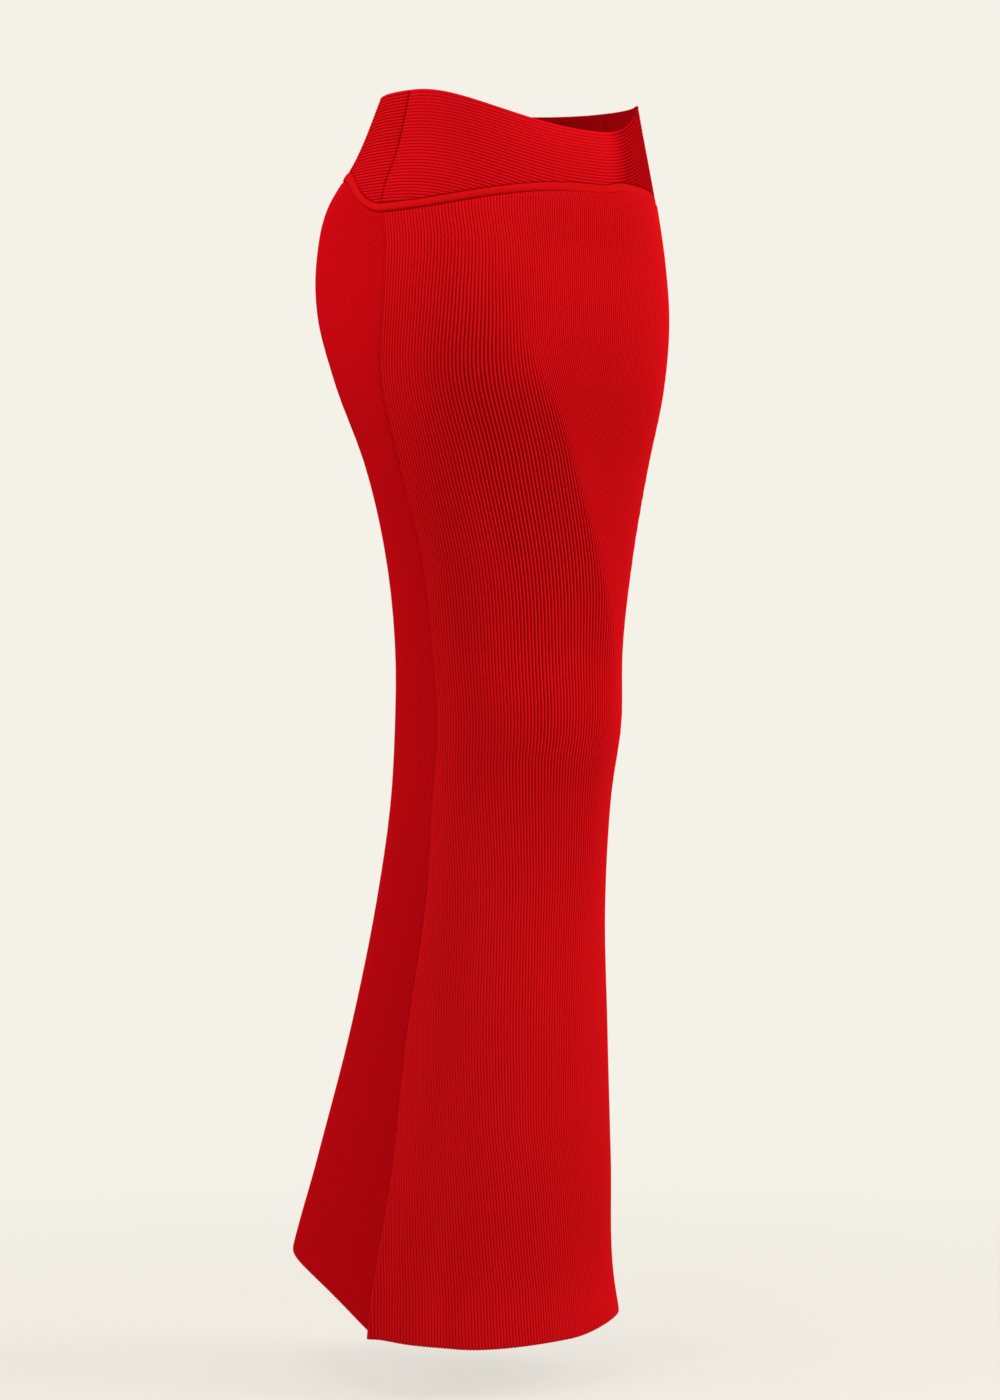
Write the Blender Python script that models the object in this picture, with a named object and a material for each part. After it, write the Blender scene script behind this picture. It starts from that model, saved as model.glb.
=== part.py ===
"""A pull-on maxi skirt in ribbed knit, as the six pieces of cloth that are sewn together.

The skirt keeps the hollow form that it has when it is worn. Left and right are as worn. +Z is up,
the front faces -Y and the right side is at -X. The origin is in the middle of the waist opening, at
the height of the lowest point of the top edge. Lengths are in metres.
"""

import math

import bmesh
import bpy
import numpy as np

MM = 0.001
FRONT = -1
BACK = 1

# Cloth
WALL = 1.6 * MM
RIB_RISE = 0.8 * MM
SEAM_GAP = 0.3 * MM

# The outline of the worn skirt, one row for each level from waist to hem. Lengths in millimetres.
# Each half of a section is a superellipse between the side seams: a higher power is squarer.
SECTION_COLUMNS = (
    "height", "half_width", "front_depth", "back_depth", "seam_y", "front_power", "back_power")
SECTION_LENGTHS = 5                # the columns from the left that are lengths
SECTIONS = (
    (36, 130, 83, 86, -2, 2.3, 2.1),
    (-20, 135, 110, 112, 10, 2.4, 2.1),
    (-60, 146, 118, 138, 17, 2.6, 2.1),
    (-100, 152, 108, 155, 9, 2.8, 2.2),
    (-150, 156, 107, 152, 8, 2.9, 2.2),
    (-210, 154, 106, 120, 12, 2.9, 2.2),
    (-280, 142, 82, 95, 3, 2.8, 2.2),
    (-360, 122, 67, 93, -6, 2.6, 2.2),
    (-440, 107, 69, 91, -5, 2.4, 2.2),
    (-505, 101, 75, 97, -5, 2.3, 2.2),
    (-560, 100, 71, 95, 1, 2.3, 2.2),
    (-650, 102, 68, 107, 7, 2.3, 2.2),
    (-760, 109, 84, 123, 22, 2.4, 2.1),
    (-880, 121, 89, 160, 29, 2.4, 2.0),
    (-985, 133, 96, 189, 38, 2.4, 1.9),
    (-1022, 138, 102, 194, 38, 2.4, 1.9),
)

# Skirt panels: vertical ribs that run from the trim to the hem, by side
PANEL_RIBS = {FRONT: 125, BACK: 145}

# Edges. The worn skirt tilts a little, with its left side higher.
SIDE_TILT = 2.0                    # degrees
DIP_DEPTH = 34 * MM                # from the top edge at the back down to centre front
DIP_REACH_LEFT = 55.0              # degrees in which the dip ends on the left
DIP_POWER_LEFT = 1.85
DIP_POWER_RIGHT = 2.1
BAND_BOTTOM_FRONT = -45.3 * MM     # lower edge of the waistband at centre front
BAND_BOTTOM_SEAM = -60.3 * MM      # at the side seams, its lowest points
BAND_BOTTOM_BACK = -25.5 * MM      # at centre back
BAND_BOTTOM_POWER = 2.4
BAND_RISE_ANGLE = 18.0             # degrees behind the seam in which most of its rise lies
BAND_RISE_POWER = 1.8
BAND_LIFT = 3.5 * MM               # how much higher it lies on the left of the front
BAND_LIFT_WIDTH = 30 * MM
HEM_FRONT = -1020 * MM
HEM_SEAM = -1016 * MM
HEM_BACK = -962 * MM
HEM_POWER = 6
HEM_RISE_ANGLE = 20.0
HEM_LIFT = 8.5 * MM                # how much higher the hem is towards the left seam
HEM_LIFT_WIDTH = 100 * MM

# The largest fold: a tight line from the right hip across the thigh to the knee. The walk is along
# the front from the right seam. Lengths in millimetres.
CREST_COLUMNS = ("height", "walk", "push")
THIGH_CREST = (
    (-600, 215, 0), (-520, 205, 0), (-440, 190, 4), (-396, 180, 8), (-337, 170, 10),
    (-278, 162, 10), (-227, 150, 8), (-177, 125, 4), (-110, 110, 1), (-60, 95, 0))
CREST_BEFORE = 60 * MM             # how far its slopes reach on either side
CREST_BEYOND = 27 * MM
CREST_POWER = 1.4

# Waistband
TOP_ROLL = 3.5 * MM                # plain rolled edge at the top
BAND_RIB_PITCH = 2.65 * MM

# Trim
TRIM_HEIGHT = 6.5 * MM
PANEL_GAP = 1.3 * MM               # the gaps above and below the trim, together
TRIM_PROUD = 2.4 * MM              # how far its roll stands out of the waistband

# How finely the walls are divided
OUTLINE_STEPS = 180
SETTLING_STEPS = 7
WELD = 0.04 * MM
OUTWARD_REACH = 2 * MM             # how far round a point its outward direction is measured
BAND_COLUMNS = 20
BAND_INNER_ROWS = 4
SEAM_CROWDING = 0.6
TRIM_ARC_STEPS = 5
PANEL_INNER_STEP = 10              # half ribs to each column of a panel's plain inside
PANEL_ROW_SHARES = (0.0, 0.045, 0.10, 0.165, 0.24, 0.33, 0.44, 0.60, 0.80, 1.0)

# Colours, as linear red, green and blue
BAND_COLOUR = (0.53, 0.006, 0.007, 1.0)
TRIM_COLOUR = (0.45, 0.005, 0.006, 1.0)
PANEL_COLOUR = (0.50, 0.006, 0.007, 1.0)
CLOTH_ROUGHNESS = 0.8


class Outline:
    """Smooth curves through the columns of the table of sections."""

    def __init__(self):
        self.table = np.array(sorted(SECTIONS), dtype=float)
        self.table[:, :SECTION_LENGTHS] *= MM
        self.heights = self.table[:, 0]
        steps = np.diff(self.heights)[:, None]
        chords = np.diff(self.table, axis=0) / steps
        middle = (chords[:-1] * steps[1:] + chords[1:] * steps[:-1]) / (steps[:-1] + steps[1:])
        self.slopes = np.vstack([chords[:1], middle, chords[-1:]])

    def at(self, height):
        """The values of all columns at a height, by name."""
        height = min(max(height, self.heights[0]), self.heights[-1])
        below = int(np.searchsorted(self.heights, height)) - 1
        below = min(max(below, 0), len(self.heights) - 2)
        step = self.heights[below + 1] - self.heights[below]
        part = (height - self.heights[below]) / step
        blend = part * part * (3 - 2 * part)
        values = self.table[below] + (self.table[below + 1] - self.table[below]) * blend
        values = values + step * part * (1 - part) ** 2 * self.slopes[below]
        values = values - step * part ** 2 * (1 - part) * self.slopes[below + 1]
        return dict(zip(SECTION_COLUMNS, values))


OUTLINE = Outline()


class HalfSection:
    """One half of the outline at a height, walked from the right side seam to the left one."""

    def __init__(self, side, height):
        size = OUTLINE.at(height)
        self.side = side
        depth = size["front_depth"] if side == FRONT else size["back_depth"]
        power = size["front_power"] if side == FRONT else size["back_power"]
        self.angle = np.linspace(-math.pi / 2, math.pi / 2, OUTLINE_STEPS + 1)
        sine, cosine = np.sin(self.angle), np.abs(np.cos(self.angle))
        self.x = size["half_width"] * np.sign(sine) * np.abs(sine) ** (2 / power)
        self.y = size["seam_y"] + side * depth * cosine ** (2 / power)
        steps = np.hypot(np.diff(self.x), np.diff(self.y))
        self.walked = np.concatenate([[0.0], np.cumsum(steps)])
        self.length = self.walked[-1]

    def at(self, distance):
        """Position, outward direction and angle from the centre line, after a walked distance."""
        x = np.interp(distance, self.walked, self.x)
        y = np.interp(distance, self.walked, self.y)
        angle = np.interp(distance, self.walked, self.angle)
        ends = (distance - OUTWARD_REACH, distance + OUTWARD_REACH)
        ends = np.clip(ends, 0, self.length)
        along_x = np.diff(np.interp(ends, self.walked, self.x))[0]
        along_y = np.diff(np.interp(ends, self.walked, self.y))[0]
        size = math.hypot(along_x, along_y)
        outward = (-self.side * along_y / size, self.side * along_x / size)
        if not OUTWARD_REACH < distance < self.length - OUTWARD_REACH:
            outward = (math.copysign(1.0, distance - self.length / 2), 0.0)
        return x, y, outward, angle


def smooth_step(value):
    """0 below 0, 1 above 1, and a smooth rise between."""
    value = min(max(value, 0.0), 1.0)
    return value * value * (3 - 2 * value)


def behind_seam(angle, rise_angle, power):
    """0 at a side seam, towards 1 at centre back: a quick rise just behind the seam."""
    turned = 90 - abs(math.degrees(angle))
    return 1 - math.exp(-(max(turned, 0.0) / rise_angle) ** power)


def tilt(x):
    """How much higher an edge lies at x, because the skirt tilts."""
    return x * math.tan(math.radians(SIDE_TILT))


def top_edge(side, angle, x):
    """Height of the waistband's top edge, which dips at the front."""
    if side == BACK:
        return DIP_DEPTH + tilt(x)
    turned = math.degrees(angle)
    left = math.sin(math.pi / 2 * min(max(turned / DIP_REACH_LEFT, 0.0), 1.0)) ** DIP_POWER_LEFT
    right = math.sin(math.radians(min(max(-turned, 0.0), 90.0))) ** DIP_POWER_RIGHT
    return DIP_DEPTH * (left + right) + tilt(x)


def band_bottom(side, angle, x):
    """Height of the waistband's lower edge, which is lowest at the side seams."""
    if side == BACK:
        rise = behind_seam(angle, BAND_RISE_ANGLE, BAND_RISE_POWER)
        return BAND_BOTTOM_SEAM + (BAND_BOTTOM_BACK - BAND_BOTTOM_SEAM) * rise + tilt(x)
    drop = (BAND_BOTTOM_SEAM - BAND_BOTTOM_FRONT) * abs(math.sin(angle)) ** BAND_BOTTOM_POWER
    lift = BAND_LIFT * smooth_step(x / BAND_LIFT_WIDTH) * math.cos(angle)
    return BAND_BOTTOM_FRONT + drop + lift + tilt(x)


def panel_top(side, angle, x):
    """Height of a skirt panel's top edge, under the trim."""
    return band_bottom(side, angle, x) - TRIM_HEIGHT - PANEL_GAP


def hem(side, angle, x):
    """Height of the hem, which rises behind the side seams."""
    lift = HEM_LIFT * smooth_step(x / HEM_LIFT_WIDTH)
    if side == BACK:
        return HEM_SEAM + (HEM_BACK - HEM_SEAM) * behind_seam(angle, HEM_RISE_ANGLE, 1) + lift
    return HEM_FRONT + (HEM_SEAM - HEM_FRONT) * abs(math.sin(angle)) ** HEM_POWER + lift


def fold(side, walk, height):
    """How far the thigh's fold stands out of the outline."""
    if side == BACK:
        return 0.0
    heights, walks, pushes = np.array(THIGH_CREST, dtype=float).T * MM
    beside = walk - np.interp(height, heights, walks)
    reach = CREST_BEFORE if beside < 0 else CREST_BEYOND
    return np.interp(height, heights, pushes) * math.exp(-(abs(beside) / reach) ** CREST_POWER)


def place(side, share, height_at, outside=0.0):
    """A point of the cloth, a share of the way from the right seam to the left one.

    height_at(angle, x) is its height, which may follow an edge. outside is how far it lies outside
    the outline and its fold, as a length or a function of angle and x too.
    """
    height = height_at(0.0, 0.0)
    for _ in range(SETTLING_STEPS):
        section = HalfSection(side, height)
        walk = SEAM_GAP / 2 + share * (section.length - SEAM_GAP)
        x, y, outward, angle = section.at(walk)
        height = height_at(angle, x)
    if callable(outside):
        outside = outside(angle, x)
    outside = outside + fold(side, walk, height)
    return x + outward[0] * outside, y + outward[1] * outside, height


def band_shares():
    """Where the columns of the waistband and the trim stand: closer together near the seams."""
    even = [column / BAND_COLUMNS for column in range(BAND_COLUMNS + 1)]
    return [share - SEAM_CROWDING * math.sin(2 * math.pi * share) / (2 * math.pi) for share in even]


def join_grid(mesh, grid):
    """Faces between the neighbouring points of a grid, and the grid of its vertices."""
    vertices = [[mesh.verts.new(point) for point in row] for row in grid]
    for upper, lower in zip(vertices, vertices[1:]):
        for i in range(len(upper) - 1):
            mesh.faces.new((upper[i], upper[i + 1], lower[i + 1], lower[i]))
    return vertices


def shares_walked(vertices):
    """How far along a row of vertices each one lies, as a share of the row's length."""
    steps = [(after.co - before.co).length for before, after in zip(vertices, vertices[1:])]
    walked = np.concatenate([[0.0], np.cumsum(steps)])
    return walked / walked[-1]


def join_edges(mesh, first, second):
    """A strip of triangles between two rows of vertices that run the same way."""
    first_shares = shares_walked(first)
    second_shares = shares_walked(second)
    i = j = 0
    while i < len(first) - 1 or j < len(second) - 1:
        first_is_next = j == len(second) - 1 or (
            i < len(first) - 1 and first_shares[i + 1] <= second_shares[j + 1])
        if first_is_next:
            mesh.faces.new((first[i], first[i + 1], second[j]))
            i += 1
        else:
            mesh.faces.new((first[i], second[j + 1], second[j]))
            j += 1


def add_wall(name, collection, material, outer, inner):
    """A closed wall of cloth between a fine outer grid of points and a plain inner one."""
    mesh = bmesh.new()
    outside = join_grid(mesh, outer)
    inside = join_grid(mesh, inner)
    join_edges(mesh, outside[0], inside[0])
    join_edges(mesh, outside[-1], inside[-1])
    join_edges(mesh, [row[0] for row in outside], [row[0] for row in inside])
    join_edges(mesh, [row[-1] for row in outside], [row[-1] for row in inside])
    return add_object(name, collection, material, mesh)


def add_object(name, collection, material, mesh):
    """Weld a mesh, turn its faces outwards and add it as an object."""
    bmesh.ops.remove_doubles(mesh, verts=mesh.verts, dist=WELD)
    bmesh.ops.recalc_face_normals(mesh, faces=mesh.faces)
    data = bpy.data.meshes.new(name)
    mesh.to_mesh(data)
    mesh.free()
    data.materials.append(material)
    added = bpy.data.objects.new(name, data)
    collection.objects.link(added)
    return added


def knit(name, colour):
    """A matt cloth material."""
    material = bpy.data.materials.new(name)
    material.use_nodes = True
    shader = material.node_tree.nodes["Principled BSDF"]
    shader.inputs["Base Color"].default_value = colour
    shader.inputs["Roughness"].default_value = CLOTH_ROUGHNESS
    shader.inputs["Metallic"].default_value = 0.0
    return material


def add_waistband(name, side, collection, material):
    """Half of the waistband: ribs run round it, and the lower ones end at its rising lower edge."""
    tallest = DIP_DEPTH - BAND_BOTTOM_SEAM - TOP_ROLL
    half_ribs = math.ceil(2 * tallest / BAND_RIB_PITCH) + 1
    shares = band_shares()

    def rib_height(half_rib):
        return lambda angle, x: max(
            top_edge(side, angle, x) - TOP_ROLL - half_rib * BAND_RIB_PITCH / 2,
            band_bottom(side, angle, x))

    def rib_rise(half_rib, angle, x):
        room = rib_height(half_rib)(angle, x) - band_bottom(side, angle, x)
        return RIB_RISE * min(1.0, room / BAND_RIB_PITCH) if half_rib % 2 else 0.0

    outer = [[place(side, share, lambda angle, x: top_edge(side, angle, x), RIB_RISE / 2)
              for share in shares]]
    for half_rib in range(half_ribs + 1):
        outer.append([place(side, share, rib_height(half_rib),
                            lambda angle, x: rib_rise(half_rib, angle, x)) for share in shares])

    def inner_height(part):
        return lambda angle, x: (
            (1 - part) * top_edge(side, angle, x) + part * band_bottom(side, angle, x))

    inner = [[place(side, share, inner_height(row / BAND_INNER_ROWS), -WALL)
              for share in shares] for row in range(BAND_INNER_ROWS + 1)]
    return add_wall(name, collection, material, outer, inner)


def add_trim(name, side, collection, material):
    """Half of the trim: a strip whose outside is rolled and stands out of the waistband."""
    profile = [(-WALL, 0.0)]
    for step in range(TRIM_ARC_STEPS + 1):
        turn = math.pi * step / TRIM_ARC_STEPS
        profile.append((TRIM_PROUD * math.sin(turn), -TRIM_HEIGHT / 2 * (1 - math.cos(turn))))
    profile.append((-WALL, -TRIM_HEIGHT))

    def height_at(drop):
        return lambda angle, x: band_bottom(side, angle, x) - SEAM_GAP + drop

    mesh = bmesh.new()
    rings = [[mesh.verts.new(place(side, share, height_at(drop), outside))
              for outside, drop in profile] for share in band_shares()]
    for ring, following in zip(rings, rings[1:]):
        for i in range(len(profile)):
            j = (i + 1) % len(profile)
            mesh.faces.new((ring[i], ring[j], following[j], following[i]))
    mesh.faces.new(rings[0])
    mesh.faces.new(rings[-1])
    return add_object(name, collection, material, mesh)


def add_panel(name, side, collection, material):
    """One skirt panel: vertical ribs on a plain inside, from the trim to the hem."""
    half_ribs = 2 * PANEL_RIBS[side]

    def row_height(part):
        return lambda angle, x: (
            (1 - part) * panel_top(side, angle, x) + part * hem(side, angle, x))

    outer = [[place(side, half_rib / half_ribs, row_height(part), RIB_RISE * (half_rib % 2))
              for half_rib in range(half_ribs + 1)] for part in PANEL_ROW_SHARES]
    inner = [[place(side, half_rib / half_ribs, row_height(part), -WALL)
              for half_rib in range(0, half_ribs + 1, PANEL_INNER_STEP)]
             for part in PANEL_ROW_SHARES]
    return add_wall(name, collection, material, outer, inner)


def main():
    """Clear the scene and build the six pieces."""
    for existing in list(bpy.data.objects):
        bpy.data.objects.remove(existing, do_unlink=True)
    collection = bpy.data.collections.new("ribbed_maxi_skirt")
    bpy.context.scene.collection.children.link(collection)
    for half, side in (("front", FRONT), ("back", BACK)):
        add_waistband("waistband_" + half, side, collection, knit("waistband_" + half, BAND_COLOUR))
        add_trim("trim_" + half, side, collection, knit("trim_" + half, TRIM_COLOUR))
        add_panel("skirt_" + half, side, collection, knit("skirt_" + half, PANEL_COLOUR))


main()
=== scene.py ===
# %% [markdown]
# # A ribbed maxi skirt
#
# The skirt is a tube of fine rib knit that fits close over hips and knees and flares to the hem.
# Six pieces of cloth make it: a waistband, a narrow rolled trim and a skirt panel, each with a
# front and a back half. This lesson rebuilds each piece as a thin shell of real ribs, on the same
# outline as the solid that it stands for, and then gives the knit its yarn, stitches and sheen,
# with painted shade in the rib valleys and a painted highlight on the crests.
#
# Lengths are in metres, and those in tables are in millimetres. +Z is up, the front faces -Y, and
# left and right are as worn, so the right side seam is at -X. The frame of solids is loaded first,
# because every piece rides on it.

# %% Load the frame
import math

import bmesh
import bpy
import numpy as np
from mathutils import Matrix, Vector


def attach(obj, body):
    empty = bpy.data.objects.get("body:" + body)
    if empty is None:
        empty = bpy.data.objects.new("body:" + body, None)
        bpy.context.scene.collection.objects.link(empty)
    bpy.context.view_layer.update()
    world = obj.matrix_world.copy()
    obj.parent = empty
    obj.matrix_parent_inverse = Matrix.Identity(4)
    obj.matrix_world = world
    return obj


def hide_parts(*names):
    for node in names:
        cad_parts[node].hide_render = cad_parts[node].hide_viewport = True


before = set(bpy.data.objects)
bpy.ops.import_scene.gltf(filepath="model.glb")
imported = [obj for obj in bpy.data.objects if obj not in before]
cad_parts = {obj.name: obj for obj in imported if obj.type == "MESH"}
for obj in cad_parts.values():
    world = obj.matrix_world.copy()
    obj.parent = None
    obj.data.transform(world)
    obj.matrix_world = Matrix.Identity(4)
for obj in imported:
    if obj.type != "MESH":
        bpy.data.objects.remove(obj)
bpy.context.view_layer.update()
MM = 0.001
FRONT = -1
BACK = 1
SIDE_NAMES = {FRONT: "front", BACK: "back"}
print("frame loaded:", sorted(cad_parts))

# %% [markdown]
# ## The camera
#
# The view is a three-quarter one from the front right, level with the knees, through a long lens.
# It could be aimed with a constraint, but a level camera only needs a turn about the vertical.

# %% Camera
IMAGE_HEIGHT = 1400                # pixels
VIEW_TURN = 50.0                   # degrees from the front towards the right side
VIEW_DISTANCE = 3.40
VIEW_HEIGHT = -0.480
VIEW_SIDESTEP = -0.0086            # the waist's middle stands a little right of the picture's
FOCAL_PIXELS = 3953
SENSOR = 36.0                      # millimetres, along the picture's long side

view_turn = math.radians(VIEW_TURN)
view_right = Vector((math.cos(view_turn), -math.sin(view_turn), 0.0))
view_away = Vector((math.sin(view_turn), math.cos(view_turn), 0.0))
camera_data = bpy.data.cameras.new("camera")
camera_data.sensor_width = SENSOR
camera_data.lens = FOCAL_PIXELS / IMAGE_HEIGHT * SENSOR
camera = bpy.data.objects.new("camera", camera_data)
camera.location = (
    Vector((0, 0, VIEW_HEIGHT)) - VIEW_DISTANCE * view_away + VIEW_SIDESTEP * view_right)
camera.rotation_euler = (math.pi / 2, 0.0, -view_turn)
bpy.context.scene.collection.objects.link(camera)
bpy.context.scene.camera = camera
print("camera at", [round(value, 3) for value in camera.location])

# %% [markdown]
# ## Studio
#
# The set is pale all round, so cloth at the sides of the tube catches more light than cloth that
# faces the camera. A plain world colour does that with no walls, which would stand in the way of
# the back views. A round floor fades out into it. Three soft boxes give the cloth its direction.

# %% World
BACKDROP = (0.905, 0.880, 0.807)
AMBIENT = (1.0, 0.98, 0.95)
AMBIENT_STRENGTH = 0.475

world = bpy.data.worlds.new("studio")
world.use_nodes = True
bpy.context.scene.world = world
bpy.context.scene.view_settings.view_transform = "Standard"
nodes, links = world.node_tree.nodes, world.node_tree.links
nodes.clear()
seen = nodes.new("ShaderNodeBackground")
seen.inputs["Color"].default_value = (*BACKDROP, 1.0)
lighting = nodes.new("ShaderNodeBackground")
lighting.inputs["Color"].default_value = (*AMBIENT, 1.0)
lighting.inputs["Strength"].default_value = AMBIENT_STRENGTH
rays = nodes.new("ShaderNodeLightPath")
choose = nodes.new("ShaderNodeMixShader")
output = nodes.new("ShaderNodeOutputWorld")
links.new(rays.outputs["Is Camera Ray"], choose.inputs["Fac"])
links.new(lighting.outputs[0], choose.inputs[1])
links.new(seen.outputs[0], choose.inputs[2])
links.new(choose.outputs[0], output.inputs["Surface"])
print("world colour", BACKDROP)

# %% Soft boxes
LIGHTS_AIM = Vector((0, 0, -0.5))  # the skirt's middle
SOFT_BOXES = (
    # name, turn from the view and lift in degrees, distance and size in metres, watts, colour
    ("box_right", -80, 25, 2.2, 1.2, 35, (1.0, 0.98, 0.96)),
    ("box_left", 80, 25, 2.2, 1.2, 13, (1.0, 0.97, 0.94)),
    ("box_above", 30, 58, 1.5, 0.8, 8.2, (1.0, 0.98, 0.96)),
)


def soft_box(name, turn_from_view, lift, distance, size, power, colour):
    """A square light that faces the skirt's middle, turned from the camera's side of it."""
    data = bpy.data.lights.new(name, "AREA")
    data.shape = "SQUARE"
    data.size = size
    data.energy = power
    data.color = colour
    angle = view_turn + math.radians(turn_from_view)
    rise = math.radians(lift)
    offset = Vector((
        -math.sin(angle) * math.cos(rise), -math.cos(angle) * math.cos(rise), math.sin(rise)))
    light = bpy.data.objects.new(name, data)
    light.location = LIGHTS_AIM + distance * offset
    light.rotation_euler = (-offset).to_track_quat("-Z", "Y").to_euler()
    bpy.context.scene.collection.objects.link(light)


for row in SOFT_BOXES:
    soft_box(*row)

# %% Floor
FLOOR_HEIGHT = -1.066
FLOOR_RADIUS = 2.2
FLOOR_CORNERS = 96
FLOOR_TONE = (0.80, 0.775, 0.715)
FLOOR_ALPHA = 0.25                 # in the middle
FADE_START = 0.25                  # from the middle
FADE_END = 1.7


def add_floor():
    """A round sheet of pale floor whose edge fades into the backdrop."""
    bpy.ops.mesh.primitive_circle_add(
        vertices=FLOOR_CORNERS, radius=FLOOR_RADIUS, fill_type="NGON",
        location=(0, 0, FLOOR_HEIGHT))
    floor = bpy.context.object
    floor.name = "floor"
    material = bpy.data.materials.new("floor")
    material.use_nodes = True
    nodes, links = material.node_tree.nodes, material.node_tree.links
    shader = nodes["Principled BSDF"]
    shader.inputs["Base Color"].default_value = (*FLOOR_TONE, 1.0)
    shader.inputs["Roughness"].default_value = 0.6
    shader.inputs["Specular IOR Level"].default_value = 0.2
    place = nodes.new("ShaderNodeTexCoord")
    distance = nodes.new("ShaderNodeVectorMath")
    distance.operation = "LENGTH"
    fade = nodes.new("ShaderNodeMapRange")
    fade.interpolation_type = "SMOOTHSTEP"
    fade.inputs["From Min"].default_value = FADE_START
    fade.inputs["From Max"].default_value = FADE_END
    fade.inputs["To Min"].default_value = FLOOR_ALPHA
    fade.inputs["To Max"].default_value = 0.0
    links.new(place.outputs["Object"], distance.inputs[0])
    links.new(distance.outputs["Value"], fade.inputs["Value"])
    links.new(fade.outputs["Result"], shader.inputs["Alpha"])
    floor.data.materials.append(material)


add_floor()
print("floor at", FLOOR_HEIGHT)

# %% [markdown]
# ## The outline of the worn skirt
#
# Worn knit is stretched, so the form is a stack of rounded sections: wide at the hips, close at
# the knees, flared at the hem. It could be sculpted, but a table of sections can be read and
# changed. Each half of a section, between the side seams, is a superellipse, and smooth curves
# join the rows of the table. The solids have the same sections, so each finer piece lies on the
# solid that it stands for.

# %% Sections
SECTION_COLUMNS = (
    "height", "half_width", "front_depth", "back_depth", "seam_y", "front_power", "back_power")
SECTION_LENGTHS = 5                # the columns from the left that are lengths
SECTIONS = (
    (36, 130, 83, 86, -2, 2.3, 2.1),
    (-20, 135, 110, 112, 10, 2.4, 2.1),
    (-60, 146, 118, 138, 17, 2.6, 2.1),
    (-100, 152, 108, 155, 9, 2.8, 2.2),
    (-150, 156, 107, 152, 8, 2.9, 2.2),
    (-210, 154, 106, 120, 12, 2.9, 2.2),
    (-280, 142, 82, 95, 3, 2.8, 2.2),
    (-360, 122, 67, 93, -6, 2.6, 2.2),
    (-440, 107, 69, 91, -5, 2.4, 2.2),
    (-505, 101, 75, 97, -5, 2.3, 2.2),
    (-560, 100, 71, 95, 1, 2.3, 2.2),
    (-650, 102, 68, 107, 7, 2.3, 2.2),
    (-760, 109, 84, 123, 22, 2.4, 2.1),
    (-880, 121, 89, 160, 29, 2.4, 2.0),
    (-985, 133, 96, 189, 38, 2.4, 1.9),
    (-1022, 138, 102, 194, 38, 2.4, 1.9),
)
print("sections:", len(SECTIONS))

# %% Smooth curves
def smooth_curves(columns, rows, lengths):
    """A function that gives a table's columns by name at an array of heights, between its rows."""
    table = np.array(sorted(rows), dtype=float)
    table[:, :lengths] *= MM
    heights = table[:, 0]
    steps = np.diff(heights)[:, None]
    chords = np.diff(table, axis=0) / steps
    middle = (chords[:-1] * steps[1:] + chords[1:] * steps[:-1]) / (steps[:-1] + steps[1:])
    slopes = np.vstack([chords[:1], middle, chords[-1:]])

    def columns_at(height):
        height = np.clip(np.asarray(height, dtype=float), heights[0], heights[-1])
        below = np.clip(np.searchsorted(heights, height) - 1, 0, len(heights) - 2)
        step = (heights[below + 1] - heights[below])[..., None]
        part = (height - heights[below])[..., None] / step
        values = table[below] + (table[below + 1] - table[below]) * part * part * (3 - 2 * part)
        values = values + step * part * (1 - part) ** 2 * slopes[below]
        values = values - step * part ** 2 * (1 - part) * slopes[below + 1]
        return dict(zip(columns, np.moveaxis(values, -1, 0)))
    return columns_at


outline_at = smooth_curves(SECTION_COLUMNS, SECTIONS, SECTION_LENGTHS)
print("waist, hips, knees, hem half widths:",
      [round(float(outline_at(z)["half_width"]), 3) for z in (0.0, -0.15, -0.5, -1.0)])

# %% [markdown]
# A point of the cloth is named by its height and by how far it lies from the right seam, walked
# along the cloth. The angle of the superellipse would be simpler, but it would space the ribs
# unevenly. So each half is measured once on a fine grid, and every piece reads its points there.

# %% A measured half
LEVELS = np.arange(-1.030, 0.050, 0.004)    # heights from below the hem to above the waist
SHARES = np.linspace(0.0, 1.0, 481)    # of the walk from the right seam to the left one
ANGLES = np.linspace(-math.pi / 2, math.pi / 2, 541)    # from the right seam to the left one


def measure_half(side):
    """x, y and angle on a grid of levels and shares of the walk, and each level's whole walk."""
    outline = outline_at(LEVELS)
    depth = outline[SIDE_NAMES[side] + "_depth"]
    power = outline[SIDE_NAMES[side] + "_power"]
    sine, cosine = np.sin(ANGLES), np.abs(np.cos(ANGLES))
    half = {"x": [], "y": [], "angle": [], "length": []}
    for level in range(len(LEVELS)):
        x = outline["half_width"][level] * np.sign(sine) * np.abs(sine) ** (2 / power[level])
        y = outline["seam_y"][level] + side * depth[level] * cosine ** (2 / power[level])
        walked = np.concatenate([[0.0], np.cumsum(np.hypot(np.diff(x), np.diff(y)))])
        half["length"].append(walked[-1])
        for name, line in (("x", x), ("y", y), ("angle", ANGLES)):
            half[name].append(np.interp(SHARES * walked[-1], walked, line))
    return {name: np.array(lines) for name, lines in half.items()}


HALVES = {side: measure_half(side) for side in (FRONT, BACK)}
print("measured levels of each half:", len(LEVELS))

# %% Reading the grids
LAST_CELL = 1.001                  # keeps a place just inside the last cell of a grid


def between(grid, row, column):
    """A grid's value between its points, at a place counted in rows and columns."""
    row = np.clip(row, 0, grid.shape[0] - LAST_CELL)
    column = np.clip(column, 0, grid.shape[1] - LAST_CELL)
    i, j = row.astype(int), column.astype(int)
    v, u = row - i, column - j
    upper = grid[i, j] * (1 - u) + grid[i, j + 1] * u
    lower = grid[i + 1, j] * (1 - u) + grid[i + 1, j + 1] * u
    return upper * (1 - v) + lower * v


def level_row(height):
    """A height counted in levels of the measured half."""
    return (height - LEVELS[0]) / (LEVELS[1] - LEVELS[0])


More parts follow.
